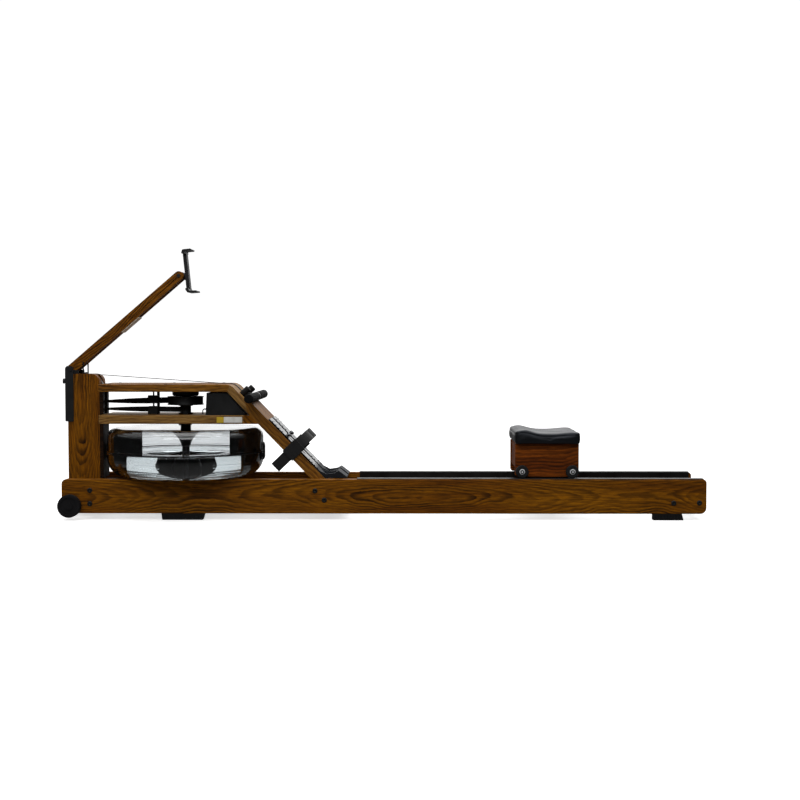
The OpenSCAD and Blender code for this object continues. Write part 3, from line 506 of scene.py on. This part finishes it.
def turned(profile, sides):
    """Points and faces of a profile [(radius, height)] turned round +Z, with a flat face at each end."""
    points, faces = [], []
    for radius, height in profile:
        for k in range(sides):
            a = 2 * math.pi * k / sides
            points.append((radius * math.cos(a), radius * math.sin(a), height))
    for i in range(len(profile) - 1):
        for k in range(sides):
            n = (k + 1) % sides
            faces.append((i * sides + k, i * sides + n, (i + 1) * sides + n, (i + 1) * sides + k))
    faces.append(tuple(reversed(range(sides))))
    faces.append(tuple((len(profile) - 1) * sides + k for k in range(sides)))
    return points, faces


def group(parts, name):
    """One mesh out of [(points, faces, matrix)]."""
    points, faces = [], []
    for part_points, part_faces, matrix in parts:
        base = len(points)
        points += [matrix @ Vector(p) for p in part_points]
        faces += [tuple(base + i for i in face) for face in part_faces]
    return mesh_of(points, faces, name)


def soften_edges():
    """Rounds the CAD parts' sharp edges a little, so that they catch light as worked edges do."""
    skip = {"tank_lower", "tank_upper", "drive_strap", "recoil_strap", "bungee_cord", "sensor_cable"}
    for name in sorted(set(nodes) - skip):
        weld = nodes[name].modifiers.new("weld", "WELD")
        weld.merge_threshold = 0.00002
        bevel = nodes[name].modifiers.new("bevel", "BEVEL")
        bevel.width = 0.0007
        bevel.segments = 2
        bevel.limit_method = "ANGLE"
        bevel.angle_limit = math.radians(40)
        bevel.harden_normals = True


# ---------- pieces ----------

def make_water():
    """The tank's filling, a hair inside its wall and up to the seam."""
    low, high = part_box("tank_lower")
    gap = 0.0005
    wall = 0.004
    corner = 0.058
    bore = 0.0095
    sides = 128
    radius = (high.x - low.x) / 2 - 2 * wall - gap
    bottom = low.z + wall + gap
    level = high.z - 0.0015
    profile = [(bore, bottom), (radius - corner, bottom)]
    for i in range(1, 13):
        a = math.radians(-90 + 90 * i / 12)
        profile.append((radius - corner + corner * math.cos(a),
                        bottom + corner + corner * math.sin(a)))
    profile += [(radius, level - 0.0015), (radius - 0.0006, level), (radius - 0.004, level - 0.0008),
                (radius * 0.6, level - 0.001), (bore, level - 0.001)]
    points, faces = turned(profile, sides)
    del faces[-2:]
    last = (len(profile) - 1) * sides
    faces += [(last + k, last + (k + 1) % sides, (k + 1) % sides, k) for k in range(sides)]
    centre = (low + high) / 2
    mesh = group([(points, faces, Matrix.Translation((centre.x, centre.y, 0)))], "water")
    add("water", mesh, water(), "frame")


def solid_centres(name):
    """Middle of each separate solid in a CAD node."""
    shape = bmesh.new()
    shape.from_mesh(nodes[name].data)
    bmesh.ops.remove_doubles(shape, verts=shape.verts, dist=0.00001)
    left = set(shape.verts)
    centres = []
    while left:
        found = [left.pop()]
        for vertex in found:
            for edge in vertex.link_edges:
                other = edge.other_vert(vertex)
                if other in left:
                    left.remove(other)
                    found.append(other)
        low = Vector([min(v.co[i] for v in found) for i in range(3)])
        high = Vector([max(v.co[i] for v in found) for i in range(3)])
        centres.append((low + high) / 2)
    shape.free()
    return sorted(centres, key=lambda c: (round(c.x, 4), round(c.y, 4), round(c.z, 4)))


def bolt_head(radius, height, sides=40):
    """Button head with a hexagonal socket, its flat face on z = 0, as (points, faces)."""
    outer = [(radius * 0.97, 0.0), (radius, height * 0.12)]
    for i in range(1, 6):
        a = math.radians(75 * i / 5)
        outer.append((radius * (0.62 + 0.38 * math.cos(a)), height * (0.12 + 0.88 * math.sin(a))))
    top = outer[-1][1]
    socket = radius * 0.42
    points, faces = turned(outer, sides)
    faces.pop()
    start = (len(outer) - 1) * sides
    for depth, size in ((top, socket * 1.08), (top - height * 0.04, socket),
                        (top - height * 0.6, socket)):
        first = len(points)
        for k in range(sides):
            a = 2 * math.pi * k / sides
            hexagon = math.cos(math.pi / 6) / math.cos((a % (math.pi / 3)) - math.pi / 6)
            points.append((size * hexagon * math.cos(a), size * hexagon * math.sin(a), depth))
        for k in range(sides):
            n = (k + 1) % sides
            faces.append((start + k, start + n, first + n, first + k))
        start = first
    faces.append(tuple(start + k for k in range(sides)))
    return points, faces


def make_bolts(material):
    """Frame bolts: a socket head at each end of the CAD bolts, in the same places."""
    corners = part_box("rail_left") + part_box("rail_right")
    face = max(abs(corner.y) for corner in corners) + 0.0001
    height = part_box("rail_bolts")[1].y - face
    points, faces = bolt_head(radius=0.0085, height=height)
    parts = []
    for centre in solid_centres("rail_bolts"):
        side = 1 if centre.y > 0 else -1
        turn = Matrix.Rotation(math.radians(-90 * side), 4, "X")
        parts.append((points, faces, Matrix.Translation((centre.x, side * face, centre.z)) @ turn))
    piece = add("rail_bolt_heads", group(parts, "bolts"), material, "frame")
    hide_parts("rail_bolts")


def make_deck_screws(material):
    """Wood screws along both sides of the upper deck, seen from above."""
    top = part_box("top_deck")
    points, faces = bolt_head(radius=0.005, height=0.0012, sides=24)
    parts = []
    for x in (top[0].x + 0.03, (top[0].x + top[1].x) / 2, top[1].x - 0.045):
        for y in (-0.085, 0.085):
            parts.append((points, faces, Matrix.Translation((x, y, top[1].z))))
    add("deck_screws", group(parts, "screws"), material, "frame")


def sheet_plate(width, height, thickness, radius):
    """Thin plate in the XZ plane with rounded corners; it faces -Y."""
    outline = []
    for cx, cz, start in ((1, -1, -90), (1, 1, 0), (-1, 1, 90), (-1, -1, 180)):
        for i in range(7):
            a = math.radians(start + 90 * i / 6)
            outline.append((cx * (width / 2 - radius) + radius * math.cos(a),
                            cz * (height / 2 - radius) + radius * math.sin(a)))
    count = len(outline)
    points = [(x, -thickness, z) for x, z in outline] + [(x, 0, z) for x, z in outline]
    faces = [tuple(range(count)), tuple(reversed(range(count, 2 * count)))]
    faces += [(k, k + count, (k + 1) % count + count, (k + 1) % count) for k in range(count)]
    return points, faces


def make_labels():
    """Blank stickers on the lower deck's near edge."""
    low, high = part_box("lower_deck")
    middle = (low.z + high.z) / 2
    yellow = label("yellow_label", rgb(216, 180, 44), rgb(190, 152, 32))
    white = label("white_label", rgb(248, 246, 240), rgb(226, 222, 212))
    for name, share, width, material in (("label_yellow", 0.840, 0.0235, yellow),
                                         ("label_white", 0.928, 0.060, white)):
        points, faces = sheet_plate(width, height=0.0185, thickness=0.0002, radius=0.0015)
        place = Matrix.Translation((low.x + share * (high.x - low.x), low.y, middle))
        add(name, group([(points, faces, place)], name), material, "frame", False)


def make_arm_plate():
    """Blank pale plate across the underside of the arm's two bars."""
    points, faces = sheet_plate(width=0.076, height=0.056, thickness=0.003, radius=0.003)
    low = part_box("arm_bars")[0]
    slope = math.radians(ARM_SLOPE)
    half = 0.015
    from_end = 0.244
    start = Vector((low.x + half, 0, low.z + half))
    along = Vector((math.cos(slope), 0, math.sin(slope)))
    down = Vector((math.sin(slope), 0, -math.cos(slope)))
    place = Matrix.Translation(start + along * from_end + down * (half + 0.0001))
    place = place @ Matrix.Rotation(-slope, 4, "Y") @ Matrix.Rotation(math.radians(90), 4, "X")
    material = label("pale_plate", rgb(236, 222, 200), rgb(206, 188, 160))
    add("arm_plate", group([(points, faces, place)], "arm_plate"), material, "arm", False)


def make_strap_lead(material):
    """The strap from the deck's rear edge down to the handle: a copy of the CAD strap with its long
    edges split into short ones.
    """
    mesh = nodes["strap_lead"].data.copy()
    mesh.materials.clear()
    piece = bpy.data.objects.new("strap_lead_web", mesh)
    scene.collection.objects.link(piece)
    shape = bmesh.new()
    shape.from_mesh(mesh)
    bmesh.ops.remove_doubles(shape, verts=shape.verts, dist=0.00001)
    longest_edge = 0.003
    for _ in range(5):
        long_edges = [e for e in shape.edges if e.calc_length() > longest_edge]
        bmesh.ops.subdivide_edges(shape, edges=long_edges, cuts=1, use_grid_fill=True)
    shape.to_mesh(mesh)
    shape.free()
    mesh.materials.append(material)
    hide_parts("strap_lead")
    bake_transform(piece)


# ---------- seat pad ----------

PAD_SHRINK = 0.0015
PAD_CAP = 0.0018
PAD_MARGIN = 0.0003
PAD_FRAMES = 20


def pad_height(x, y, low, high):
    """Height of the pad's top: a front hump, a dip, a low rear rise, and a shallow crown across."""
    along = (x - low.x) / (high.x - low.x)
    across = abs(y) / (high.y - low.y) * 2
    hump = 0.0140 * math.exp(-((along - 0.13) / 0.19) ** 2)
    rear = 0.0055 * math.exp(-((along - 0.93) / 0.24) ** 2)
    hollow = -0.0022 * math.exp(-((across - 0.45) / 0.22) ** 2)
    return low.z + 0.0362 + hump + rear + hollow + 0.0012 * (1 - across ** 2)


def pad_form():
    """Closed form of the pad as rings from its underside's middle, round the edge, to its top's
    middle. Each ring is a rounded rectangle whose sides pull in a little between its corners."""
    low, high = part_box("seat_pad")
    half = Vector(((high.x - low.x) / 2 - PAD_SHRINK, (high.y - low.y) / 2 - PAD_SHRINK))
    centre = (low + high) / 2
    corner = 0.015
    arcs = []
    for sx, sy, start in ((1, 1, 0), (-1, 1, 90), (-1, -1, 180), (1, -1, 270)):
        angles = [math.radians(start + 90 * i / 8) for i in range(9)]
        arcs.append([(sx * (half.x - corner) + corner * math.cos(a),
                      sy * (half.y - corner) + corner * math.sin(a)) for a in angles])
    outline = []
    for k, arc in enumerate(arcs):
        outline += arc
        (x0, y0), (x1, y1) = arc[-1], arcs[(k + 1) % 4][0]
        for i in range(1, 24):
            t = i / 24
            pull = 1 - 0.006 * math.sin(math.pi * t)
            x, y = x0 + (x1 - x0) * t, y0 + (y1 - y0) * t
            outline.append((x, y * pull) if k % 2 == 0 else (x * pull, y))
    sides = len(outline)
    rings = [(k, 0.0) for k in (0.25, 0.5, 0.75, 0.9, 0.965)]
    rings += [(0.990, 0.04), (1.0, 0.16), (1.0, 0.4), (1.0, 0.66), (1.0, 0.86), (0.992, 0.95)]
    rings += [(k, 1.0) for k in (0.97, 0.93, 0.87, 0.78, 0.65, 0.5, 0.35, 0.2)]
    points = []
    for size, rise in rings:
        for x, y in outline:
            x, y = centre.x + x * size, y * size
            bottom = low.z + 0.0004
            points.append((x, y, bottom + (pad_height(x, y, low, high) - bottom) * rise))
    faces = [tuple(reversed(range(sides)))]
    for i in range(len(rings) - 1):
        for k in range(sides):
            n = (k + 1) % sides
            faces.append((i * sides + k, i * sides + n, (i + 1) * sides + n, (i + 1) * sides + k))
    faces.append(tuple((len(rings) - 1) * sides + k for k in range(sides)))
    return mesh_of(points, faces, "pad"), low, high


def apply_modifiers(piece):
    depsgraph = bpy.context.evaluated_depsgraph_get()
    mesh = bpy.data.meshes.new_from_object(piece.evaluated_get(depsgraph))
    piece.modifiers.clear()
    piece.data = mesh


def inflate(piece):
    """Cloth pressure fills the skin out; no point moves further than the cap."""
    remesh = piece.modifiers.new("remesh", "REMESH")
    remesh.mode = "VOXEL"
    remesh.voxel_size = 0.003
    apply_modifiers(piece)
    rest = np.array([v.co for v in piece.data.vertices])
    cloth = piece.modifiers.new("cloth", "CLOTH")
    cloth.settings.use_pressure = True
    cloth.settings.uniform_pressure_force = 4
    cloth.settings.effector_weights.gravity = 0
    for step in range(1, PAD_FRAMES + 1):
        scene.frame_set(step)
    apply_modifiers(piece)
    moved = np.array([v.co for v in piece.data.vertices]) - rest
    length = np.linalg.norm(moved, axis=1)
    capped = rest + moved * np.minimum(1, PAD_CAP / np.maximum(length, 1e-9))[:, None]
    piece.data.vertices.foreach_set("co", capped.astype(np.float32).ravel())
    piece.data.update()
    scene.frame_set(1)


def stitch_groove(piece, low, high):
    """Presses the seam into the pad's side, a little under its top edge, and flattens its
    underside."""
    for vertex in piece.data.vertices:
        x, y, z = vertex.co
        drop = pad_height(x, y, low, high) - z
        outward = Vector((x - (low.x + high.x) / 2, y, 0)).normalized()
        vertex.co -= outward * 0.0011 * math.exp(-((drop - 0.010) / 0.0022) ** 2)
        vertex.co.z = max(vertex.co.z, low.z + 0.0001)
    piece.data.update()


def fill_box(piece, low, high):
    """Brings the pad back to its CAD box, since the tightened skin draws its sides in."""
    points = np.array([v.co for v in piece.data.vertices])
    now_low, now_high = points.min(axis=0), points.max(axis=0)
    want_low, want_high = np.array(low) + PAD_MARGIN, np.array(high) - PAD_MARGIN
    points = want_low + (points - now_low) * (want_high - want_low) / (now_high - now_low)
    piece.data.vertices.foreach_set("co", points.astype(np.float32).ravel())
    piece.data.update()


def make_pad():
    mesh, low, high = pad_form()
    piece = bpy.data.objects.new("seat_pad_cover", mesh)
    scene.collection.objects.link(piece)
    inflate(piece)
    smooth = piece.modifiers.new("subdivision", "SUBSURF")
    smooth.levels = smooth.render_levels = 1
    apply_modifiers(piece)
    stitch_groove(piece, low, high)
    fill_box(piece, low, high)
    piece.data.materials.clear()
    piece.data.materials.append(vinyl())
    for face in piece.data.polygons:
        face.use_smooth = True
    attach(piece, "seat")
    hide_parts("seat_pad")


# ---------- stage ----------

def make_floor():
    s = Shader("floor", Roughness=0.8, Emission_Color=(1, 1, 1, 1), Emission_Strength=0.62)
    s.feed("Base Color", s.mix(s.noise(s.coordinate, 3, 2), rgb(246, 246, 246), rgb(240, 240, 240)))
    size = 30.0
    mesh = mesh_of([(-size, -size, 0), (size, -size, 0), (size, size, 0), (-size, size, 0)],
                   [(0, 1, 2, 3)], "floor")
    floor = bpy.data.objects.new("floor", mesh)
    mesh.materials.append(s.material)
    scene.collection.objects.link(floor)
    floor.visible_diffuse = False
    floor.visible_glossy = False
    floor.visible_transmission = False


make_camera()
make_world()
make_light("overhead", (0.0, -0.3, 3.2), (0, 0, 0.2), (4.5, 2.0), 50)
make_light("front_fill", (-0.6, -3.6, 2.4), (0, 0, 0.2), (3.2, 1.6), 42)
make_light("back_fill", (0.8, 3.4, 2.6), (0, 0, 0.2), (3.0, 1.4), 26)
make_floor()
all_materials()
all_wood()
soften_edges()
make_water()
make_bolts(nodes["arm_bracket"].data.materials[0])
make_deck_screws(nodes["arm_bracket"].data.materials[0])
make_labels()
make_arm_plate()
make_strap_lead(nodes["drive_strap"].data.materials[0])
make_pad()
